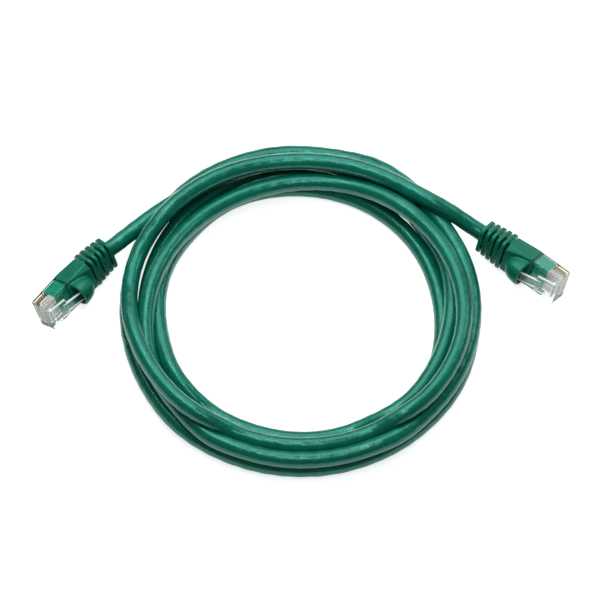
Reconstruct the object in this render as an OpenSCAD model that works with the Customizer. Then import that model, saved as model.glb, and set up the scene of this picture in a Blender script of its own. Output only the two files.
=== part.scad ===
// Ethernet patch cable: a coiled round cable with a clear 8P8C plug and a
// snagless strain relief boot on each end. Millimetres, +Z up. The origin is
// on the surface that the cable lies on, midway between the two plugs.
//
// Each plug is drawn in its own frame: the nose face is at x = 0, the body runs
// back along -X, +Y is across the width and +Z is the latch side.

/* [Cable] */
// Outside diameter of the jacket
cable_d = 6; // [5.8:0.1:6]
// Inside diameter of the jacket
jacket_bore = 4.8; // [4.7:0.05:4.9]
// Diameter of each insulated wire
wire_d = 0.88; // [0.8:0.02:0.9]
// Thickness of the cross that keeps the four pairs apart
separator_t = 0.4; // [0.2:0.05:0.4]

/* [Coil] */
// Inner radius of the wound bundle
coil_inner_r = 45; // [43:1:47]
// Outer radius of the wound bundle
coil_outer_r = 68; // [67:1:70]
// Height of the wound bundle
coil_h = 18; // [15:1:20]
// Where the middle of the coil is, left to right
coil_x = 0; // [-2:0.5:2]
// Where the middle of the coil is, front to back
coil_y = -13; // [-15:0.5:-11]

/* [Plug] */
// Width of the plug housing
plug_w = 11.68; // [11.6:0.02:11.76]
// Height of the plug housing
plug_h = 6.6; // [6.5:0.05:6.7]
// Length of the plug housing
plug_len = 21.4; // [21.2:0.1:21.4]
// Length of the housing that shows in front of the boot
nose_len = 12.5; // [12.3:0.1:12.7]
// Distance between neighbouring contacts
contact_pitch = 1.02; // [1:0.01:1.04]
// Thickness of each contact
contact_t = 0.35; // [0.3:0.01:0.36]

/* [Latch] */
// Width of the latch at the plug's nose
latch_w = 6.22; // [6:0.02:6.3]
// Width of the latch's tail
tail_w = 3.25; // [3:0.05:3.5]
// Length of the latch from its hinge to the tip of its tail
latch_len = 13.6; // [13.3:0.1:13.8]
// Thickness of the latch's wide part and of its tail
latch_t = 1; // [0.9:0.05:1.05]
// How far the latch stands up from the plug when it is free
latch_angle = 12; // [11:0.5:12.5]

/* [Boot] */
// Number of bending ribs behind the boot's body
rib_count = 5; // [4:1:5]
// Distance between neighbouring ribs
rib_pitch = 2.36; // [2.3:0.02:2.4]
// Thickness of each rib
rib_t = 1.4; // [1.2:0.05:1.5]
// Width of the first rib
rib_w = 12.6; // [12:0.1:12.8]
// Height of the first rib
rib_h = 9.4; // [9:0.1:9.6]
// Width of the snagless hood over the latch's tail
hood_w = 9.2; // [8.8:0.1:9.4]
// Height of the hood's top above the plug's axis
hood_top = 9.8; // [9.6:0.1:10]
// Wall of the hood
hood_wall = 0.9; // [0.7:0.1:1]

/* [Hidden] */

// Each plug: nose position, heading, roll about its own axis, and how far the
// boot's tail bends in the horizontal plane.
plug_a = [[-91, -16.9, 6.7], 231.5, -66, 10];
plug_b = [[91.7, -5.5, 6.7], -39.5, 68, -3.5];

// Route of each free stretch of cable, from the boot to the coil.
lead_a_route = [[-68.7, 9.5, 6.7], [-65.5, 12.3, 6.9], [-60.5, 16.4, 7.5], [-55, 20.9, 8.2], [-50, 24.9, 8.8]];
lead_b_route = [[64.8, 16.2, 6.7], [60.7, 19.1, 7], [56.5, 21.6, 8.3], [52, 23.5, 10.4], [47.5, 25.5, 12.4]];

cable_green = "#0b6b52";
boot_green = "#0c7355";
insert_green = "#118062";
clear = [0.86, 0.92, 0.92, 0.4];
gold = "#d9b45a";
copper_colours = ["#f2b48a", "#e0701f", "#a9d8b5", "#2b58b5", "#a9c1e8", "#1f8a4c", "#c9ab94", "#6f4427"];

small = 0.05;                          // overlap of joined shapes
edge_r = 0.3;                          // corner radius of the housing
neck_w = 10.6;                         // housing inside the boot
neck_h = 5.9;
cavity_w = 10.9;                       // hollow of the housing
cavity_h = 5.8;
neck_cavity_w = 9.4;
neck_cavity_h = 4.9;
insert_gap = 0.05;                     // all round the insert
insert_front = -5.4;
cavity_step = -11.8;
wire_z = -0.5;                         // height of the flat row of wires
channel_r = wire_d / 2 + 0.04;
channel_end = -1.2;
bar_front = -5.6;
bar_back = -9.6;
bar_w = 9;
bar_h = 1.9;
core_w = 8.3;                          // hollow of the insert
core_h = 4.2;
contact_front = -0.9;
contact_back = -5.2;
contact_low = -2.7;
contact_high = wire_z - wire_d / 2 - 0.05;
slot_gap = 0.05;
hinge_x = -1.3;
hinge_z = plug_h / 2 + 0.15;
hinge_r = 0.6;
hinge_clearance = 0.05;
latch_under = -0.05;                   // underside of the latch below its hinge
shoulder = -6.5;                       // back of the latch's wide part
tail_front = -5;                       // the tail starts on top of the wide part
tail_step = 0.35;                      // and stands this much above its underside
tail_rise = 3;                         // and rises this much more
body_rear = -22.7;                     // back of the boot's body
body_front_w = 11.9;
body_front_h = 6.8;
body_rear_w = 12.6;
body_rear_h = 9.3;
body_rear_z = 0.95;
body_rear_r = 1.8;
boot_rear = body_rear - rib_count * rib_pitch;
boot_pocket_gap = 0.05;
rib_r = 2.3;
rib_taper_w = 0.36;                    // each rib is this much narrower
rib_taper_h = 0.22;
rib_z = 0.8;                           // the first rib's middle above the axis
rib_drop = 0.05;
sleeve_r = 3.9;                        // tube inside the ribs
bridge_w = 3.4;
bore_r = cable_d / 2 + 0.06;
jacket_front = -21.6;
hood_front = -13;
hood_len = 7.6;
hood_root = 4.4;                       // height of the dome's widest section
hood_low = 5.6;                        // lower edge of the hood at rest
hood_gap = 0.2;
hood_floor = 3.4;                      // floor of the recess that the hood sinks into
round_fn = 48;
wire_sides = 8;
sleeve_sides = 24;

// Flat row position and place in the jacket of each wire, seen from the nose.
pair_out = 1.6;
pair_half = 0.5;
wire_seats = [
    [-pair_out, pair_half], [-pair_out, -pair_half], [-pair_half, -pair_out], [-pair_half, pair_out],
    [pair_half, pair_out], [pair_half, -pair_out], [pair_out, -pair_half], [pair_out, pair_half]];

function row_y(i) = (i - 3.5) * contact_pitch;

// ---- Sweeping a profile along a route ----

function unit(v) = v / norm(v);
function circle_profile(r, sides) = [for (k = [0 : sides - 1]) r * [cos(360 * k / sides), sin(360 * k / sides)]];
function heading(p, k) = unit(p[min(k + 1, len(p) - 1)] - p[max(k - 1, 0)]);
function side_of(t) = unit(cross([0, 0, 1], t));

// A solid whose section is the profile, first axis level and second axis up.
module sweep(profile, p) {
    n = len(profile);
    rings = len(p);
    points = [
        for (k = [0 : rings - 1])
            let (t = heading(p, k), s = side_of(t), u = cross(t, s))
                for (q = profile) p[k] + q[0] * s + q[1] * u];
    walls = [
        for (k = [0 : rings - 2], j = [0 : n - 1])
            [k * n + j, (k + 1) * n + j, (k + 1) * n + (j + 1) % n, k * n + (j + 1) % n]];
    front = [for (j = [0 : n - 1]) j];
    back = [for (j = [n - 1 : -1 : 0]) (rings - 1) * n + j];
    polyhedron(points = points, faces = concat([front], walls, [back]), convexity = 6);
}

// A smooth curve through the given points, steps rings between each two.
function spline_point(a, b, c, d, t) =
    0.5 * ((2 * b) + (c - a) * t + (2 * a - 5 * b + 4 * c - d) * t * t + (3 * b - a - 3 * c + d) * t * t * t);
function spline(p, steps) = [
    for (k = [0 : len(p) - 2], j = [0 : steps - 1])
        let (before = k == 0 ? 2 * p[0] - p[1] : p[k - 1],
             after = k == len(p) - 2 ? 2 * p[k + 1] - p[k] : p[k + 2])
            spline_point(before, p[k], p[k + 1], after, j / steps),
    p[len(p) - 1]];

// ---- Places along a plug ----

// Behind the boot's body the axis is an arc that turns by the plug's bend.
function bend_angle(plug, x) = x > body_rear ? 0 : plug[3] * (body_rear - x) / (body_rear - boot_rear);
function bend_radius(plug) = (body_rear - boot_rear) * 180 / (PI * plug[3]);
function bend_axis(plug, x) =
    x > body_rear ? [x, 0, 0]
    : let (a = bend_angle(plug, x), r = bend_radius(plug)) [body_rear - r * sin(a), r * (1 - cos(a)), 0];
function rolled(plug, q) = [
    q[0] * cos(plug[2]) - q[1] * sin(plug[2]),
    q[0] * sin(plug[2]) + q[1] * cos(plug[2])];
// A point of the plug's frame, carried along with the bend.
function bent(plug, x, y, z) =
    let (a = bend_angle(plug, x), q = rolled(plug, [y, z]))
        bend_axis(plug, x) + [q[0] * sin(a), q[0] * cos(a), q[1]];

module at_nose(plug) translate(plug[0]) rotate([0, 0, plug[1]]) children();
module at_plug(plug) at_nose(plug) rotate([plug[2], 0, 0]) children();
module at_bend(plug, x)
    at_nose(plug) translate(bend_axis(plug, x)) rotate([0, 0, -bend_angle(plug, x)]) rotate([plug[2], 0, 0]) children();

// ---- Simple shapes ----

module rounded_rect(w, h, r) {
    square([w - 2 * r, h], center = true);
    square([w, h - 2 * r], center = true);
    for (x = [-1, 1], y = [-1, 1])
        translate([x * (w / 2 - r), y * (h / 2 - r)]) circle(r = r, $fn = 32);
}

// A bar from x0 back to x1 with a section of w across and h high.
module bar(x0, x1, w, h, r, z = 0)
    translate([x1, 0, z]) rotate([90, 0, 90]) linear_extrude(x0 - x1) rounded_rect(w, h, r);
module box_bar(x0, x1, w, z0, z1)
    translate([x1, -w / 2, z0]) cube([x0 - x1, w, z1 - z0]);
module pin_y(x, z, r, w)
    translate([x, 0, z]) rotate([90, 0, 0]) cylinder(r = r, h = w, center = true, $fn = round_fn);

// ---- Plug ----

module plug_housing() color(clear)
    difference() {
        union() {
            bar(0, -nose_len, plug_w, plug_h, edge_r);
            bar(-nose_len + small, -plug_len, neck_w, neck_h, edge_r);
        }
        bar(insert_front, cavity_step, cavity_w, cavity_h, edge_r);
        bar(cavity_step + small, -plug_len - 1, neck_cavity_w, neck_cavity_h, edge_r);
        for (i = [0 : 7]) {
            translate([insert_front - small, row_y(i), wire_z]) rotate([0, 90, 0])
                cylinder(r = channel_r, h = channel_end - insert_front + small, $fn = 24);
            translate([0, row_y(i), 0])
                box_bar(contact_front + slot_gap, contact_back - slot_gap, contact_t + 2 * slot_gap, -plug_h, wire_z);
        }
        pin_y(hinge_x, hinge_z, hinge_r + hinge_clearance, latch_w + 0.2);
    }

module latch_lever() color(clear)
    translate([hinge_x, 0, hinge_z]) rotate([0, latch_angle, 0]) {
        pin_y(0, 0, hinge_r, latch_w);
        pin_y(0, latch_under + latch_t / 2, latch_t / 2, latch_w);
        box_bar(0, shoulder, latch_w, latch_under, latch_under + latch_t);
        translate([tail_front, 0, latch_under + tail_step]) rotate([0, tail_rise, 0])
            box_bar(0, -latch_len - tail_front, tail_w, 0, latch_t);
    }

// A gold blade with two piercing teeth that point at its wire.
module contact(i) color(gold)
    translate([0, row_y(i), 0])
        difference() {
            box_bar(contact_front, contact_back, contact_t, contact_low, contact_high);
            for (x = [contact_front - 0.4, contact_back + 0.4])
                translate([x, 0, contact_high]) rotate([0, 45, 0]) cube([0.5, 1, 0.5], center = true);
            translate([(contact_front + contact_back) / 2, 0, contact_high]) rotate([0, 45, 0])
                cube([0.8, 1, 0.8], center = true);
        }

module load_bar() color(clear)
    difference() {
        bar(bar_front, bar_back, bar_w, bar_h, 0.3, wire_z);
        for (i = [0 : 7])
            translate([bar_back - 1, row_y(i), wire_z]) rotate([0, 90, 0])
                cylinder(r = channel_r, h = bar_front - bar_back + 2, $fn = 24);
    }

module boot_insert() color(insert_green)
    difference() {
        union() {
            bar(insert_front - insert_gap, cavity_step + small, cavity_w - 2 * insert_gap, cavity_h - 2 * insert_gap, edge_r);
            bar(cavity_step + 2 * small, -plug_len + 0.1, neck_cavity_w - 2 * insert_gap,
                neck_cavity_h - 2 * insert_gap, edge_r);
        }
        bar(insert_front + 1, bar_back - small, bar_w + 0.1, bar_h + 0.1, 0.3, wire_z);
        bar(bar_back, -plug_len - 1, core_w, core_h, 0.4);
    }

// Row in the plug, a fan behind the load bar, then the wire's seat in the jacket.
module wire(plug, i) {
    seat = wire_seats[i];
    y = row_y(i);
    route = [
        [channel_end - 0.1, y, wire_z], [-10, y, wire_z], [-13.5, y, seat[1]], [-15, y, seat[1]],
        [-20.5, seat[0], seat[1]], [-22.4, seat[0], seat[1]], [-26, seat[0], seat[1]], [-30, seat[0], seat[1]],
        [boot_rear, seat[0], seat[1]]];
    color(copper_colours[i]) at_nose(plug)
        sweep(circle_profile(wire_d / 2, wire_sides), [for (p = route) bent(plug, p[0], p[1], p[2])]);
}

// ---- Cable inside the boot ----

function boot_axis(plug, x0, x1, steps) = [for (k = [0 : steps]) bent(plug, x0 + (x1 - x0) * k / steps, 0, 0)];

module jacket_end(plug) color(cable_green) at_nose(plug)
    difference() {
        sweep(circle_profile(cable_d / 2, sleeve_sides), boot_axis(plug, jacket_front, boot_rear, 6));
        sweep(circle_profile(jacket_bore / 2, sleeve_sides), boot_axis(plug, jacket_front + 0.2, boot_rear - 0.2, 6));
    }

// Cross whose arms lie between the pairs.
module pair_separator(plug) {
    arm = jacket_bore / 2 - 0.1;
    h = separator_t / 2;
    turn = 45 - plug[2];
    cross_points = [[arm, h], [h, h], [h, arm], [-h, arm], [-h, h], [-arm, h],
                    [-arm, -h], [-h, -h], [-h, -arm], [h, -arm], [h, -h], [arm, -h]];
    profile = [for (q = cross_points) [q[0] * cos(turn) - q[1] * sin(turn), q[0] * sin(turn) + q[1] * cos(turn)]];
    color("#dfe5e2") at_nose(plug) sweep(profile, boot_axis(plug, jacket_front - 0.4, boot_rear, 6));
}

// ---- Boot ----

module boot_slab(x, w, h, r, z) bar(x, x - 0.02, w, h, r, z);

// One rib and the bridge in the gap in front of it; gaps are bridged at the
// sides and at the top and bottom in turn, so that the boot can bend.
module boot_rib(i) {
    w = rib_w - i * rib_taper_w;
    h = rib_h - i * rib_taper_h;
    z = rib_z - i * rib_drop;
    bar(rib_t / 2, -rib_t / 2, w, h, rib_r, z);
    gap = rib_pitch - rib_t + 2 * small;
    if (i % 2 == 0) bar(rib_t / 2 - small + gap, rib_t / 2 - small, w - 1, bridge_w, 0.5, z);
    else bar(rib_t / 2 - small + gap, rib_t / 2 - small, bridge_w, h - 1, 0.5, z);
}

module strain_relief_boot(plug) color(boot_green)
    difference() {
        union() {
            at_plug(plug) hull() {
                boot_slab(-nose_len, body_front_w, body_front_h, 0.5, 0);
                boot_slab(body_rear + 0.02, body_rear_w, body_rear_h, body_rear_r, body_rear_z);
            }
            for (i = [0 : rib_count - 1])
                at_bend(plug, body_rear - (i + 1) * rib_pitch + rib_t / 2) boot_rib(i);
            at_nose(plug)
                sweep(circle_profile(sleeve_r, sleeve_sides), boot_axis(plug, body_rear + 0.1, boot_rear + 0.1, 6));
        }
        at_nose(plug)
            sweep(circle_profile(bore_r, sleeve_sides), boot_axis(plug, body_rear + 1.3, boot_rear - 0.2, 6));
        at_plug(plug) {
            bar(-nose_len + 1, -plug_len - 0.1, neck_w + 2 * boot_pocket_gap, neck_h + 2 * boot_pocket_gap, edge_r);
            box_bar(-nose_len + 1, hood_front - hood_len - hood_gap, hood_w + 2 * hood_gap, hood_floor, hood_top);
        }
    }

// Quarter of an ellipsoid, shrunk by g all round.
module dome(g)
    translate([hood_front, 0, hood_root])
        scale([hood_len - g, hood_w / 2 - g, hood_top - hood_root - g]) sphere(r = 1, $fn = 32);

// Dome over the latch's tail, open at the front and below.
module boot_hood() color(boot_green)
    difference() {
        dome(0);
        dome(hood_wall);
        box_bar(0, -30, 2 * hood_w, -hood_top, hood_low);
        box_bar(0, hood_front, 2 * hood_w, 0, 2 * hood_top);
    }

// ---- Cable ----

// The ring that the turns fill, with room left for the rear of each boot.
module cable_coil() color(cable_green)
    difference() {
        translate([coil_x, coil_y, 0]) rotate_extrude($fn = 120) {
            mid = (coil_inner_r + coil_outer_r) / 2;
            width = coil_outer_r - coil_inner_r;
            translate([mid, 6]) rounded_rect(width, 12, 3);
            translate([mid, coil_h / 2]) rounded_rect(width - 7, coil_h, 4);
        }
        for (plug = [plug_a, plug_b])
            at_nose(plug) translate([boot_rear - 2, -8, -8]) cube([14, 16, 2 * coil_h]);
    }

module cable_lead(route) color(cable_green) sweep(circle_profile(cable_d / 2, 12), spline(route, 2));

at_plug(plug_a) plug_housing();  // plug_housing_a
at_plug(plug_a) latch_lever();  // latch_lever_a
at_plug(plug_a) load_bar();  // load_bar_a
at_plug(plug_a) boot_insert();  // boot_insert_a
strain_relief_boot(plug_a);  // strain_relief_boot_a
at_plug(plug_a) boot_hood();  // boot_hood_a
jacket_end(plug_a);  // jacket_end_a
pair_separator(plug_a);  // pair_separator_a
at_plug(plug_a) contact(0);  // contact_1_a
at_plug(plug_a) contact(1);  // contact_2_a
at_plug(plug_a) contact(2);  // contact_3_a
at_plug(plug_a) contact(3);  // contact_4_a
at_plug(plug_a) contact(4);  // contact_5_a
at_plug(plug_a) contact(5);  // contact_6_a
at_plug(plug_a) contact(6);  // contact_7_a
at_plug(plug_a) contact(7);  // contact_8_a
wire(plug_a, 0);  // wire_1_white_orange_a
wire(plug_a, 1);  // wire_2_orange_a
wire(plug_a, 2);  // wire_3_white_green_a
wire(plug_a, 3);  // wire_4_blue_a
wire(plug_a, 4);  // wire_5_white_blue_a
wire(plug_a, 5);  // wire_6_green_a
wire(plug_a, 6);  // wire_7_white_brown_a
wire(plug_a, 7);  // wire_8_brown_a
at_plug(plug_b) plug_housing();  // plug_housing_b
at_plug(plug_b) latch_lever();  // latch_lever_b
at_plug(plug_b) load_bar();  // load_bar_b
at_plug(plug_b) boot_insert();  // boot_insert_b
strain_relief_boot(plug_b);  // strain_relief_boot_b
at_plug(plug_b) boot_hood();  // boot_hood_b
jacket_end(plug_b);  // jacket_end_b
pair_separator(plug_b);  // pair_separator_b
at_plug(plug_b) contact(0);  // contact_1_b
at_plug(plug_b) contact(1);  // contact_2_b
at_plug(plug_b) contact(2);  // contact_3_b
at_plug(plug_b) contact(3);  // contact_4_b
at_plug(plug_b) contact(4);  // contact_5_b
at_plug(plug_b) contact(5);  // contact_6_b
at_plug(plug_b) contact(6);  // contact_7_b
at_plug(plug_b) contact(7);  // contact_8_b
wire(plug_b, 0);  // wire_1_white_orange_b
wire(plug_b, 1);  // wire_2_orange_b
wire(plug_b, 2);  // wire_3_white_green_b
wire(plug_b, 3);  // wire_4_blue_b
wire(plug_b, 4);  // wire_5_white_blue_b
wire(plug_b, 5);  // wire_6_green_b
wire(plug_b, 6);  // wire_7_white_brown_b
wire(plug_b, 7);  // wire_8_brown_b
cable_coil();
cable_lead(lead_a_route);  // cable_lead_a
cable_lead(lead_b_route);  // cable_lead_b
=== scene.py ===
"""Looks of a coiled ethernet patch cable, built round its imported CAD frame."""
import math

import bpy
import numpy as np
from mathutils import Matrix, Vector


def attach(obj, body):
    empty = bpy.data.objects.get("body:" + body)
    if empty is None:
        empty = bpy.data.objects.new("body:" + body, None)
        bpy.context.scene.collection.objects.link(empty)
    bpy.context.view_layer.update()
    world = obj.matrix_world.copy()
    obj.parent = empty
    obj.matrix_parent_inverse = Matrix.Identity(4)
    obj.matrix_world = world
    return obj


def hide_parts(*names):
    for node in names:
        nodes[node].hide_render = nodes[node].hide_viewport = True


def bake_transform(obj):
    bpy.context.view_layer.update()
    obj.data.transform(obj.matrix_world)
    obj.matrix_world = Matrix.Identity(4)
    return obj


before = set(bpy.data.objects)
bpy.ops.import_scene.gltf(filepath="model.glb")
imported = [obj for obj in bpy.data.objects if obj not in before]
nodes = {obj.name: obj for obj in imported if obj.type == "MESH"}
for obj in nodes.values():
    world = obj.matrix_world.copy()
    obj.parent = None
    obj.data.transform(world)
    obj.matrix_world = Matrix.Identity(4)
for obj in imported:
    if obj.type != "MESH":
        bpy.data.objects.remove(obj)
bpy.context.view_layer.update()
MM = 0.001


# ---- Camera: a long lens from the front, 60 degrees above the surface ----

LENS = 800.0
SENSOR = 36.0
IMAGE_WIDTH = 600
PIXELS_PER_MM = 2.83
ELEVATION = 60
FARTHEST_SEEN = 20
aim = Vector((-0.0005, -0.0066, 0.0))
elevation = math.radians(ELEVATION)
distance = IMAGE_WIDTH * LENS / SENSOR / PIXELS_PER_MM * MM
back = Vector((0, -math.cos(elevation), math.sin(elevation)))
camera = bpy.data.objects.new("camera", bpy.data.cameras.new("camera"))
bpy.context.collection.objects.link(camera)
camera.data.lens = LENS
camera.data.sensor_width = SENSOR
camera.location = aim + back * distance
camera.rotation_mode = "QUATERNION"
camera.rotation_quaternion = (-back).to_track_quat("-Z", "Y")
camera.data.clip_end = FARTHEST_SEEN
bpy.context.scene.camera = camera


# ---- Node material helpers ----


class Material:
    """A Principled material with a few node helpers."""

    def __init__(self, name, **sockets):
        self.mat = bpy.data.materials.new(name)
        self.mat.use_nodes = True
        self.tree = self.mat.node_tree
        self.shader = self.tree.nodes["Principled BSDF"]
        for key, value in sockets.items():
            self.set(key.replace("_", " "), value)

    def set(self, socket, value):
        found = self.shader.inputs[socket]
        if isinstance(value, bpy.types.NodeSocket):
            self.tree.links.new(value, found)
        elif isinstance(value, (tuple, list)) and len(value) == 3:
            found.default_value = (*value, 1)
        else:
            found.default_value = value

    def node(self, kind, inputs=(), **settings):
        made = self.tree.nodes.new("ShaderNode" + kind)
        for key, value in settings.items():
            setattr(made, key, value)
        for key, value in dict(inputs).items():
            if isinstance(value, bpy.types.NodeSocket):
                self.tree.links.new(value, made.inputs[key])
            else:
                made.inputs[key].default_value = value
        return made

    def noise(self, scale, detail, roughness):
        inputs = {"Vector": self.node("TexCoord").outputs["Object"], "Scale": scale,
                  "Detail": detail, "Roughness": roughness}
        return self.node("TexNoise", inputs).outputs[0]

    def range(self, value, low, high, start=0.0, end=1.0):
        return self.node("MapRange", {"Value": value, "From Min": start, "From Max": end,
                                      "To Min": low, "To Max": high}).outputs[0]

    def mix(self, factor, one, two):
        made = self.node("Mix", data_type="RGBA")
        for key, value in ((0, factor), (6, one), (7, two)):
            if isinstance(value, bpy.types.NodeSocket):
                self.tree.links.new(value, made.inputs[key])
            else:
                made.inputs[key].default_value = value if key == 0 else (*value, 1)
        return made.outputs[2]

    def bump(self, height, strength, distance, normal=None):
        inputs = {"Height": height, "Strength": strength, "Distance": distance}
        if normal is not None:
            inputs["Normal"] = normal
        return self.node("Bump", inputs).outputs[0]

    def mottle(self, scale, one, two):
        """The base colour wanders between two tones."""
        tint = self.range(self.noise(scale, 3, 0.6), 0, 1, 0.3, 0.7)
        self.set("Base Color", self.mix(tint, one, two))

    def wear(self, scale, low, high, start=0.25, end=0.75):
        """The roughness wanders between low and high."""
        self.set("Roughness", self.range(self.noise(scale, 2, 0.6), low, high, start, end))


def srgb(r, g, b):
    """A display colour, 0 to 255, as linear light."""
    return tuple(c / 255 / 12.92 if c <= 10 else ((c / 255 + 0.055) / 1.055) ** 2.4 for c in (r, g, b))


# ---- The cable's route ----

CABLE_D = 6.0
# No bend of the cable is tighter than this radius, 4 diameters and a little.
LEAST_BEND = 25.0
# Where each free stretch runs, from the boot to the coil, in millimetres.
lead_a_route = [[-68.7, 9.5, 6.7], [-65.5, 12.3, 6.9], [-60.5, 16.4, 7.5],
                [-55, 20.9, 8.2], [-50, 24.9, 8.8]]
lead_b_route = [[64.8, 16.2, 6.7], [60.7, 19.1, 7], [56.5, 21.6, 8.3],
                [52, 23.5, 10.4], [47.5, 25.5, 12.4]]
# Lead A passes here on its way into the coil.
coil_entry = [-38, 32.5, 9]

# The coil is wound in lanes side by side, a cable apart, and in layers. Lane 0
# is the innermost one, and the turns are a little oval.
COIL_X, COIL_Y = 0.0, -13.0
INNER_LANE = 48.5
LAYER_RISE = 5.6
OVAL, OVAL_TOWARDS = 1.0, 170
# After so many turns, clockwise from the back as seen from above, the cable
# has reached a lane and a layer. It eases over from each to the next on its way round.
WINDING = [
    (-0.05, 1.6, 1), (0.25, 1, 1), (0.35, 0.8, 0.5), (0.5, 1, 0), (0.6, 1, 0),
    (0.75, 0.6, 1), (1, 0.2, 0), (1.25, 0.3, 0), (1.4, 1.4, 0), (1.6, 1.5, 0),
    (1.75, 1, 0), (2, 1.8, 0), (2.35, 2.3, 0), (2.6, 2.5, 0), (2.75, 2.3, 0),
    (2.95, 2.7, 0), (3.1, 2, 0.4), (3.3, 2.3, 1), (3.6, 2.4, 1), (3.9, 0, 1),
    (4, 0, 1), (4.3, 2, 1.8), (4.5, 1.4, 1), (4.75, 2.4, 2), (5, 0.8, 2), (5.1, 1.5, 2.1),
]


def unit(v):
    return v / np.linalg.norm(v, axis=-1, keepdims=True)


def length_along(path):
    return np.concatenate([[0], np.cumsum(np.linalg.norm(np.diff(path, axis=0), axis=1))])


def smooth_path(points, spacing, passes, samples=40, knot_power=0.75):
    """A curve through the points, evenly spaced, with its bends evened out."""
    p = np.array(points, float)
    t = np.concatenate([[0], np.cumsum(np.linalg.norm(np.diff(p, axis=0), axis=1) ** knot_power)])
    tangents = np.gradient(p, t, axis=0)
    fine = []
    for k in range(len(p) - 1):
        h = t[k + 1] - t[k]
        u = np.linspace(0, 1, samples, endpoint=False)[:, None]
        fine.append((2 * u**3 - 3 * u**2 + 1) * p[k] + (u**3 - 2 * u**2 + u) * h * tangents[k]
                    + (3 * u**2 - 2 * u**3) * p[k + 1] + (u**3 - u**2) * h * tangents[k + 1])
    fine = np.vstack(fine + [p[-1:]])
    for _ in range(2):
        s = length_along(fine)
        even = np.linspace(0, s[-1], round(s[-1] / spacing) + 1)
        fine = np.column_stack([np.interp(even, s, fine[:, axis]) for axis in range(3)])
        for _ in range(passes):
            fine[1:-1] = (fine[:-2] + 2 * fine[1:-1] + fine[2:]) / 4
    return fine


def wind_coil(per_turn=36, easing=0.1, samples=9):
    """The coil's middle line, worked out from its windings."""
    turns, lanes, layers = np.array(WINDING, float).T
    at = np.linspace(turns[0], turns[-1], round((turns[-1] - turns[0]) * per_turn) + 1)
    around = np.linspace(-easing / 2, easing / 2, samples)
    lane = np.mean([np.interp(at + step, turns, lanes) for step in around], axis=0)
    layer = np.mean([np.interp(at + step, turns, layers) for step in around], axis=0)
    angle = 2 * math.pi * at
    oval = OVAL * np.cos(2 * (angle - math.radians(OVAL_TOWARDS)))
    radius = INNER_LANE + CABLE_D * lane + oval
    return np.column_stack([COIL_X + radius * np.sin(angle), COIL_Y + radius * np.cos(angle),
                            CABLE_D / 2 + LAYER_RISE * layer])


route = lead_a_route + [coil_entry] + wind_coil().tolist() + lead_b_route[::-1]


def ease_bends(path, rounds=900, onset=0.97, sharpness=20, reach=8, strength=0.25):
    """Evens out the path where it bends more tightly than the cable may, and
    a few points to either side. onset is the share of the limit where it starts."""
    p = path.copy()
    for _ in range(rounds):
        slope = np.gradient(p, axis=0)
        bend = np.linalg.norm(np.gradient(unit(slope), axis=0), axis=1) / np.linalg.norm(slope, axis=1)
        tight = np.clip(sharpness * (bend * LEAST_BEND - onset), 0, 1)
        for _ in range(reach):
            tight[1:-1] = np.maximum(tight[1:-1], (tight[:-2] + tight[2:]) / 2)
        p[1:-1] += strength * tight[1:-1, None] * (p[:-2] + p[2:] - 2 * p[1:-1])
    return p


# How the strands settle. Distances are in millimetres, and neighbours and
# ends are counted in points of the path.
SETTLE_ROUNDS = 700
LAST_ROUNDS = 80
SEARCH_EVERY = 20
SEARCH_BEYOND = 3
NEIGHBOURS = 8
FIXED_END, FREED_OVER = 3, 6
# A point is hidden where a strand at least so far above it passes this close,
# in the view, and shows wholly where the strand passes that much farther off.
ABOVE_BY, HIDDEN_WITHIN, SHOWN_OVER = 1, 1.6, 2
NOT_COVERED = 99
HOLD_HIDDEN, HOLD_SHOWN, HOLD_AT_LAST = 0.012, 0.11, 0.3
HOLD_PASSES = 6
EYE_LEAN = 0.8
PUSH, SINK, STIFFNESS = 0.9, 0.012, 0.06


def hold_in_view(height, home, apart):
    """How firmly each point keeps its place in the view: weakly where hidden."""
    spacing = np.linalg.norm(home[:, None] - home[None], axis=2)
    covers = apart & (height[None, :] > height[:, None] + ABOVE_BY)
    cover = np.where(covers, spacing, NOT_COVERED).min(axis=1)
    hold = HOLD_HIDDEN + HOLD_SHOWN * np.clip((cover - HIDDEN_WITHIN) / SHOWN_OVER, 0, 1)
    for _ in range(HOLD_PASSES):
        hold[1:-1] = (hold[:-2] + 2 * hold[1:-1] + hold[2:]) / 4
    return hold


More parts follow.
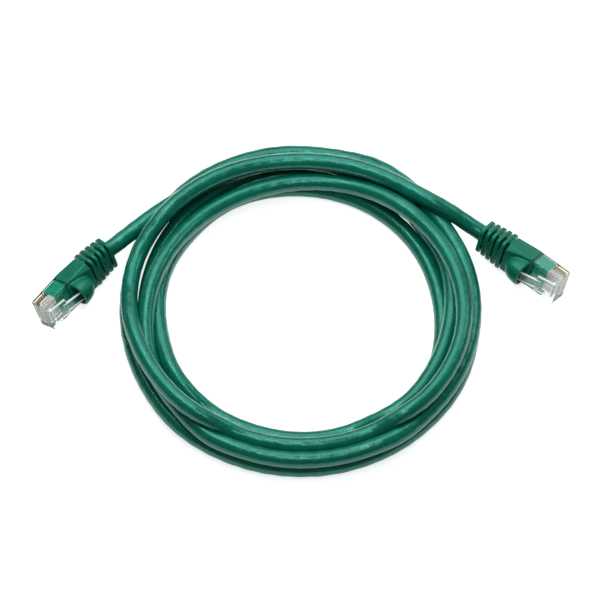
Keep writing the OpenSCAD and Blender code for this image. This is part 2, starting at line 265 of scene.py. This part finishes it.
def settle(path, towards_eye):
    """Strands that share a space push each other apart, mostly along the line
    of sight so that the coil keeps its look. Meanwhile they sink, except in
    the last rounds. Hidden strands may also slide sideways. Some overlap is
    left where strands press on each other."""
    p = path.copy()
    n = len(p)
    number = np.arange(n)
    apart = np.abs(np.subtract.outer(number, number)) > NEIGHBOURS
    height = path @ towards_eye
    home = path - height[:, None] * towards_eye
    hold = hold_in_view(height, home, apart)
    from_end = np.minimum(number, n - 1 - number)
    free = np.clip((from_end - FIXED_END) / FREED_OVER, 0, 1)[:, None]
    for step in range(SETTLE_ROUNDS):
        late = step > SETTLE_ROUNDS - LAST_ROUNDS
        if step % SEARCH_EVERY == 0:
            away = np.linalg.norm(p[:, None] - p[None], axis=2)
            i, j = np.where(np.triu(apart & (away < CABLE_D + SEARCH_BEYOND)))
        gap = p[i] - p[j]
        length = np.linalg.norm(gap, axis=1)
        side = np.where(gap @ towards_eye >= 0, 1, -1)[:, None]
        lean = unit(gap / length[:, None] + EYE_LEAN * side * towards_eye)
        amount = np.clip(CABLE_D - length, 0, None)[:, None] * lean * 0.5
        push, count = np.zeros_like(p), np.zeros(n)
        np.add.at(push, i, amount)
        np.add.at(push, j, -amount)
        touching = (length < CABLE_D).astype(float)
        np.add.at(count, i, touching)
        np.add.at(count, j, touching)
        move = PUSH * push / np.maximum(count, 1)[:, None]
        if not late:
            move -= SINK * towards_eye
        curve = np.zeros_like(p)
        curve[1:-1] = p[:-2] + p[2:] - 2 * p[1:-1]
        stiff = np.zeros_like(p)
        stiff[2:-2] = curve[1:-3] + curve[3:-1] - 2 * curve[2:-2]
        move -= STIFFNESS * stiff
        shown = p - (p @ towards_eye)[:, None] * towards_eye
        move += (hold * (HOLD_AT_LAST if late else 1))[:, None] * (home - shown)
        p += move * free
        sunk = np.clip(CABLE_D / 2 - p[:, 2], 0, None)
        p += (sunk / towards_eye[2])[:, None] * towards_eye
    return p


route_path = smooth_path(route, spacing=3.0, passes=4)
settled_path = settle(route_path, np.array(back))
cable_path = ease_bends(smooth_path(settled_path, spacing=1.0, passes=14))


def sweep_frames(path):
    """Two side vectors that don't twist along the path."""
    tangents = unit(np.gradient(path, axis=0))
    side = np.zeros_like(path)
    side[0] = unit(np.cross([0, 0, 1.0], tangents[0]))
    for k in range(1, len(path)):
        s = side[k - 1] - np.dot(side[k - 1], tangents[k]) * tangents[k]
        side[k] = s / np.linalg.norm(s)
    return side, np.cross(tangents, side)


def mesh_object(name, points, faces, smooth=True):
    """An object made from points in millimetres."""
    mesh = bpy.data.meshes.new(name)
    places = [tuple(float(c) * MM for c in p) for p in points]
    mesh.from_pydata(places, [], [tuple(f) for f in faces])
    mesh.update()
    if smooth:
        mesh.polygons.foreach_set("use_smooth", [True] * len(mesh.polygons))
    made = bpy.data.objects.new(name, mesh)
    bpy.context.collection.objects.link(made)
    return made


def tube(name, path, radius, sides, relief):
    """A closed tube along the path. relief(length along it, angle) adds to its radius."""
    side, up = sweep_frames(path)
    s = length_along(path)[:, None]
    angle = np.linspace(0, 2 * math.pi, sides, endpoint=False)[None, :]
    r = radius + relief(s, angle)
    ring = path[:, None, :] + r[..., None] * (np.cos(angle)[..., None] * side[:, None, :]
                                              + np.sin(angle)[..., None] * up[:, None, :])
    rings = len(path)
    points = np.vstack([ring.reshape(-1, 3), path[:1], path[-1:]])
    faces = []
    for k in range(rings - 1):
        near, far = k * sides, (k + 1) * sides
        faces += [(near + j, near + (j + 1) % sides, far + (j + 1) % sides, far + j) for j in range(sides)]
    faces += [(rings * sides, (j + 1) % sides, j) for j in range(sides)]
    last = (rings - 1) * sides
    faces += [(rings * sides + 1, last + j, last + (j + 1) % sides) for j in range(sides)]
    return mesh_object(name, points, faces)


CORE_LAY = 92.0
PAIR_PITCHES = (5.6, 7.1, 6.2, 8.0)
PAIR_RISE, PAIR_SWELL = 0.03, 0.04
PAIR_PHASE = 1.3
UNEVEN, UNEVEN_LENGTH = 0.6, 17
CABLE_SIDES = 28


def pair_bulges(s, angle):
    """The twisted pairs show through the jacket as soft lumps."""
    turned = angle - 2 * math.pi * s / CORE_LAY
    relief = 0 * turned
    for k, pitch in enumerate(PAIR_PITCHES):
        over = np.clip(np.cos(turned - k * math.pi / 2), 0, 1) ** 2
        uneven = 1 + UNEVEN * np.sin(s / UNEVEN_LENGTH + k)
        swell = np.sin(2 * math.pi * s / pitch + PAIR_PHASE * k) * uneven
        relief = relief + over * (PAIR_RISE + PAIR_SWELL * swell)
    return relief


cable = tube("patch_cable", cable_path, CABLE_D / 2 - PAIR_RISE, CABLE_SIDES, pair_bulges)
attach(cable, "root")
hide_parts("cable_coil", "cable_lead_a", "cable_lead_b")


# ---- Plug places, as in the CAD ----

# Nose position, heading, roll and tail bend of each plug, millimetres and degrees.
PLUGS = {
    "a": ((-91.0, -16.9, 6.7), 231.5, -66.0, 10.0),
    "b": ((91.7, -5.5, 6.7), -39.5, 68.0, -3.5),
}
BODY_REAR = -22.7
BOOT_REAR = -34.5


def on_plug(plug, points):
    """Points of a plug's own frame, bent with its tail, in the part's frame."""
    nose, heading, roll, bend = PLUGS[plug]
    x, y, z = np.array(points, float).T
    roll = math.radians(roll)
    across = y * math.cos(roll) - z * math.sin(roll)
    up = y * math.sin(roll) + z * math.cos(roll)
    reach = BODY_REAR - BOOT_REAR
    bend = math.radians(bend)
    behind = np.clip(BODY_REAR - x, 0, None)
    turn = bend * behind / reach
    r = reach / bend
    along = np.where(behind > 0, BODY_REAR - r * np.sin(turn), x) + across * np.sin(turn)
    side = r * (1 - np.cos(turn)) + across * np.cos(turn)
    heading = math.radians(heading)
    return np.column_stack([nose[0] + along * math.cos(heading) - side * math.sin(heading),
                            nose[1] + along * math.sin(heading) + side * math.cos(heading), nose[2] + up])


# ---- Solids drawn as distance fields ----


def smooth_min(a, b, k):
    """The union of two solids, blended over a distance k."""
    h = np.clip(0.5 + 0.5 * (b - a) / k, 0, 1)
    return b + (a - b) * h - k * h * (1 - h)


def smooth_max(a, b, k):
    return -smooth_min(-a, -b, k)


def corner(a, b, r):
    """Two half-spaces meeting in an outside corner of radius r."""
    a, b = a + r, b + r
    return np.hypot(np.maximum(a, 0), np.maximum(b, 0)) + np.minimum(np.maximum(a, b), 0) - r


def slab(x, front, rear):
    """All that lies between two flat faces."""
    return np.abs(x - (front + rear) / 2) - (front - rear) / 2


def rounded_bar(x, y, z, front, rear, w, h, r, edge, middle=0.0):
    """A bar along x with long edges of radius r and end edges of radius edge."""
    section = corner(np.abs(y) - w / 2, np.abs(z - middle) - h / 2, r)
    return corner(section, slab(x, front, rear), edge)


def surface_net(field, low, high, step):
    """Points and quads of the field's zero surface."""
    axes = [np.arange(low[a], high[a] + step, step) for a in range(3)]
    value = field(*np.meshgrid(*axes, indexing="ij"))
    cells = np.array(value.shape) - 1

    def at(c):
        return value[c[0]:c[0] + cells[0], c[1]:c[1] + cells[1], c[2]:c[2] + cells[2]]

    total, hits = np.zeros((*cells, 3)), np.zeros(cells)
    for axis in range(3):
        for other in range(4):
            c = [0, 0, 0]
            c[(axis + 1) % 3], c[(axis + 2) % 3] = other & 1, other >> 1
            d = list(c)
            d[axis] = 1
            a, b = at(c), at(d)
            cross = (a < 0) != (b < 0)
            t = np.where(cross, a / np.where(cross, a - b, 1), 0)
            for k in range(3):
                total[..., k] += cross * (c[k] + (t if k == axis else 0))
            hits += cross
    active = hits > 0
    index = np.full(cells, -1)
    index[active] = np.arange(active.sum())
    points = np.argwhere(active) + total[active] / hits[active][:, None]
    points = np.array(low) + step * points
    faces = []
    inside = value < 0
    for axis in range(3):
        u, v = (axis + 1) % 3, (axis + 2) % 3
        first = [slice(None)] * 3
        second = [slice(None)] * 3
        first[axis], second[axis] = slice(0, -1), slice(1, None)
        edge = inside[tuple(first)] != inside[tuple(second)]
        for out in (True, False):
            start = np.argwhere(edge & (inside[tuple(first)] == out))
            on_u, on_v = start[:, u], start[:, v]
            start = start[(on_u > 0) & (on_v > 0) & (on_u < cells[u]) & (on_v < cells[v])]
            ring = []
            for du, dv in ((0, 0), (-1, 0), (-1, -1), (0, -1)):
                q = start.copy()
                q[:, u] += du
                q[:, v] += dv
                ring.append(index[q[:, 0], q[:, 1], q[:, 2]])
            faces.append(np.column_stack(ring if out else ring[::-1]))
    return settle_on(field, points, 0.3 * step), np.vstack(faces)


def settle_on(field, points, farthest, passes=3, probe=0.01, flattest=0.2):
    """Moves the points onto the field's zero surface, along its slope."""
    for _ in range(passes):
        x, y, z = points.T
        f = field(x, y, z)
        beside = [field(x + probe, y, z), field(x, y + probe, z), field(x, y, z + probe)]
        slope = np.column_stack([value - f for value in beside]) / probe
        size = np.clip((slope**2).sum(axis=1), flattest, None)
        points = points - np.clip(f / size, -farthest, farthest)[:, None] * slope
    return points


# ---- Strain relief boots with their hoods ----

# All in millimetres in the plug's own frame. Where the body swells from front
# to rear, the first value is the front's and the gain is what the rear adds.
BODY_START, BODY_FACE = -12.5, -12.45
BODY_HALF_W, BODY_HALF_W_GAIN = 5.95, 0.35
BODY_HALF_H, BODY_HALF_H_GAIN = 3.4, 1.25
BODY_RISE, BODY_CHAMFER = 0.95, 1.9
HOOD_MOUTH, HOOD_BASE, HOOD_SHOULDER = -13, 3, 4.4
HOOD_SIZE, HOOD_SQUARENESS = (7.6, 4.6, 5.4), 2.5
HOOD_WALL, MOUTH_BASE = 0.9, 3.4
TAIL_RADIUS = 3.55
RIBS = 5
RIB_PITCH = 2.36
RIB_T = 1.4
# The first rib's width, height and middle, and how much each next one loses.
RIB_W, RIB_W_LOSS = 12.6, 0.36
RIB_H, RIB_H_LOSS = 9.4, 0.22
RIB_MIDDLE, RIB_MIDDLE_LOSS = 0.8, 0.05
RIB_CORNER, RIB_EDGE = 2.2, 0.32
BRIDGE_THICK, BRIDGE_INSET, BRIDGE_SUNK = 3.4, 1, 0.3
BORE_RADIUS = 3.06
BOOT_LOW, BOOT_HIGH = (-35.2, -6.8, -4.6), (-12.0, 6.8, 10.4)
BOOT_CELL = 0.22


def hood_dome(x, y, z, shrink):
    """The hood's bulged shape, flat on top behind its mouth and rounded off at
    the back; it runs straight on in front of the mouth."""
    n = HOOD_SQUARENESS
    size = np.array(HOOD_SIZE) - shrink
    reach = [np.minimum(x - HOOD_MOUTH, 0), y, np.maximum(z - HOOD_SHOULDER, 0)]
    part = [np.abs(r) / half for r, half in zip(reach, size)]
    g = np.clip(sum(q**n for q in part), 1e-9, None) ** (1 / n)
    slope = np.sqrt(sum((g ** (1 - n) * q ** (n - 1) / half) ** 2 for q, half in zip(part, size)))
    return (g - 1) / np.clip(slope, 0.05, None)


def boot_body(x, y, z):
    """The body round the plug, with chamfered edges, and the hood on it."""
    t = np.clip((BODY_START - x) / (BODY_START - BODY_REAR), 0, 1)
    side = np.abs(y) - (BODY_HALF_W + BODY_HALF_W_GAIN * t)
    face = np.abs(z - BODY_RISE * t) - (BODY_HALF_H + BODY_HALF_H_GAIN * t)
    chamfer = (side + face + BODY_CHAMFER * t) / 1.414
    body = smooth_max(corner(side, face, 0.4), chamfer, 0.3)
    body = corner(body, slab(x, BODY_FACE, BODY_REAR), 0.12 + 0.3 * t)
    hood = smooth_max(hood_dome(x, y, z, 0), x - HOOD_MOUTH, 0.5)
    hood = np.maximum(hood, HOOD_BASE - z)
    return smooth_min(body, hood, 0.9)


def boot_tail(x, y, z):
    """Ribs on a round tail, bridged in turn at the sides and above and below."""
    tail_length = slab(x, BODY_REAR + 0.5, BOOT_REAR + 0.1)
    tail = corner(np.hypot(y, z) - TAIL_RADIUS, tail_length, 0.2)
    for i in range(RIBS):
        rib_x = BODY_REAR - (i + 1) * RIB_PITCH + RIB_T / 2
        front, rear = rib_x + RIB_T / 2, rib_x - RIB_T / 2
        w, h = RIB_W - RIB_W_LOSS * i, RIB_H - RIB_H_LOSS * i
        middle = RIB_MIDDLE - RIB_MIDDLE_LOSS * i
        rib = rounded_bar(x, y, z, front, rear, w, h, RIB_CORNER, RIB_EDGE, middle)
        wide = (w - BRIDGE_INSET, BRIDGE_THICK) if i % 2 == 0 else (BRIDGE_THICK, h - BRIDGE_INSET)
        before = rib_x + RIB_PITCH - RIB_T / 2 + BRIDGE_SUNK
        bridge = rounded_bar(x, y, z, before, front - BRIDGE_SUNK, *wide, 0.5, 0.1, middle)
        tail = smooth_min(tail, rib, 0.2)
        tail = smooth_min(tail, bridge, 0.2)
    return tail


def boot_field(x, y, z):
    """The moulded boot: body, hood and tail, less the mouth, pocket and bore."""
    shape = smooth_min(boot_body(x, y, z), boot_tail(x, y, z), 0.3)
    mouth = smooth_max(hood_dome(x, y, z, HOOD_WALL), MOUTH_BASE - z, 0.3)
    shape = smooth_max(shape, -mouth, 0.25)
    pocket = rounded_bar(x, y, z, -11, -21.5, 10.7, 6.0, 0.3, 0.1)
    bore = np.maximum(np.hypot(y, z) - BORE_RADIUS, x - BODY_REAR + 1)
    return smooth_max(smooth_max(shape, -pocket, 0.1), -bore, 0.15)


boot_points, boot_faces = surface_net(boot_field, BOOT_LOW, BOOT_HIGH, BOOT_CELL)
boots = {}
for plug in PLUGS:
    boot = mesh_object("moulded_boot_" + plug, on_plug(plug, boot_points), boot_faces)
    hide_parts("strain_relief_boot_" + plug, "boot_hood_" + plug)
    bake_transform(boot)
    boots[plug] = boot


# ---- Materials ----

GREEN_SHEEN = (0.3, 1.0, 0.86)

jacket = Material("jacket", Specular_IOR_Level=0.9, Specular_Tint=GREEN_SHEEN)
jacket.mottle(90, srgb(0, 94, 74), srgb(0, 114, 91))
jacket.wear(420, 0.17, 0.34, 0.3, 0.7)
grain = jacket.bump(jacket.noise(2600, 2, 0.6), 0.12, 0.0002)
jacket.set("Normal", jacket.bump(jacket.noise(330, 3, 0.55), 0.5, 0.0003, grain))
cable.data.materials.append(jacket.mat)

rubber = Material("rubber", Specular_IOR_Level=0.7, Specular_Tint=GREEN_SHEEN)
rubber.mottle(160, srgb(0, 98, 74), srgb(0, 114, 88))
rubber.wear(700, 0.3, 0.46)
rubber.set("Normal", rubber.bump(rubber.noise(3200, 3, 0.6), 0.16, 0.0002))
for boot in boots.values():
    boot.data.materials.append(rubber.mat)

insert = Material("insert", Specular_IOR_Level=0.45, Specular_Tint=GREEN_SHEEN)
insert.mottle(500, srgb(0, 108, 84), srgb(0, 126, 98))
insert.wear(900, 0.14, 0.3)
insert.set("Normal", insert.bump(insert.noise(900, 2, 0.5), 0.12, 0.0002))

gold = Material("gold", Metallic=1.0)
gold.mottle(1200, srgb(146, 120, 88), srgb(172, 146, 108))
gold.wear(2600, 0.24, 0.42)

white = Material("separator_white")
white.set("Base Color", white.mix(white.noise(900, 3, 0.6), srgb(205, 205, 200), srgb(226, 226, 222)))
white.wear(1800, 0.4, 0.6)

WIRES = {
    "white_orange": (206, 178, 160), "orange": (186, 120, 96),
    "white_green": (184, 192, 176), "blue": (96, 104, 128),
    "white_blue": (176, 172, 180), "green": (88, 128, 106),
    "white_brown": (190, 170, 158), "brown": (116, 88, 78),
}


def insulation(colour):
    """Wire insulation, a little uneven where it is drawn and pressed in."""
    made = Material("insulation", Specular_IOR_Level=0.5)
    made.mottle(1400, tuple(0.78 * c for c in srgb(*colour)), srgb(*colour))
    made.wear(2400, 0.3, 0.5)
    made.set("Normal", made.bump(made.noise(2200, 2, 0.6), 0.2, 0.0001))
    return made


insulations = {name: insulation(colour) for name, colour in WIRES.items()}


def clear(name, thin=None):
    """Clear moulded plastic. Where thin is given, faces that aren't square to
    it are frosted."""
    made = Material(name, Base_Color=(0.9, 0.95, 0.94), IOR=1.4, Specular_IOR_Level=0.25)
    haze = made.range(made.noise(700, 3, 0.6), 0.02, 0.07, 0.3, 0.75)
    if thin is None:
        made.set("Transmission Weight", 1.0)
        made.set("Roughness", haze)
        return made
    normal = made.node("TexCoord").outputs["Normal"]
    facing = made.node("VectorMath", {0: normal, 1: thin}, operation="DOT_PRODUCT").outputs["Value"]
    square = made.node("Math", {0: facing}, operation="ABSOLUTE").outputs[0]
    rim = made.range(square, 1, 0, 0.5, 0.9)
    made.set("Transmission Weight", made.range(rim, 1.0, 0.35))
    frosted = made.node("Math", {0: haze, 1: made.range(rim, 0, 0.3)}, operation="ADD")
    made.set("Roughness", frosted.outputs[0])
    return made


housing_clear = clear("housing_clear")
LATCH_ANGLE = 12
lever_up = (math.sin(math.radians(LATCH_ANGLE)), 0, math.cos(math.radians(LATCH_ANGLE)))
for name, obj in nodes.items():
    kind, plug = name[:-2], name[-1]
    if kind in ("plug_housing", "load_bar"):
        found = housing_clear
    elif kind == "latch_lever":
        thin = on_plug(plug, [lever_up, (0, 0, 0)])
        found = clear(name + "_clear", tuple(float(c) for c in thin[0] - thin[1]))
    elif kind.startswith("wire_"):
        found = insulations[kind[7:]]
    elif kind.startswith("contact_"):
        found = gold
    elif kind == "boot_insert":
        found = insert
    elif kind == "pair_separator":
        found = white
    elif kind == "jacket_end":
        found = jacket
    else:
        continue
    obj.data.materials.clear()
    obj.data.materials.append(found.mat)
    if kind in ("plug_housing", "latch_lever", "load_bar"):
        obj.visible_shadow = False


# ---- Floor and light ----

HALF_FLOOR = 2500
FLOOR_DROP = 0.0002
floor_corners = [(HALF_FLOOR * x, HALF_FLOOR * y, 0) for x, y in ((-1, -1), (1, -1), (1, 1), (-1, 1))]
floor = mesh_object("floor", floor_corners, [(0, 1, 2, 3)], smooth=False)
floor.location.z = -FLOOR_DROP
paper = Material("paper", Base_Color=(0.9, 0.9, 0.9), Roughness=0.9,
                 Emission_Color=(1, 1, 1), Emission_Strength=0.75)
floor.visible_diffuse = False
floor.data.materials.append(paper.mat)


def area_light(name, where, size, power, aim_at=(0, 0, 0)):
    data = bpy.data.lights.new(name, "AREA")
    data.shape = "RECTANGLE"
    data.size, data.size_y = size
    data.energy = power
    light = bpy.data.objects.new(name, data)
    bpy.context.collection.objects.link(light)
    light.location = where
    direction = Vector(aim_at) - Vector(where)
    light.rotation_euler = direction.to_track_quat("-Z", "Y").to_euler()
    light.visible_camera = False


area_light("softbox_top", (-0.08, 0.3, 0.5), (0.6, 0.5), 2.3)
area_light("strip", (-0.05, -0.02, 0.5), (0.5, 0.05), 0.8)
area_light("softbox_right", (0.33, 0.62, 0.27), (0.32, 0.3), 0.3)
area_light("plug_side", (0.26, 0.12, 0.22), (0.14, 0.14), 0.16, aim_at=(0.085, 0, 0))

world = bpy.data.worlds.new("studio")
world.use_nodes = True
background = world.node_tree.nodes["Background"]
background.inputs["Color"].default_value = (1, 1, 1, 1)
background.inputs["Strength"].default_value = 0.16
bpy.context.scene.world = world
bpy.context.scene.view_settings.view_transform = "Standard"
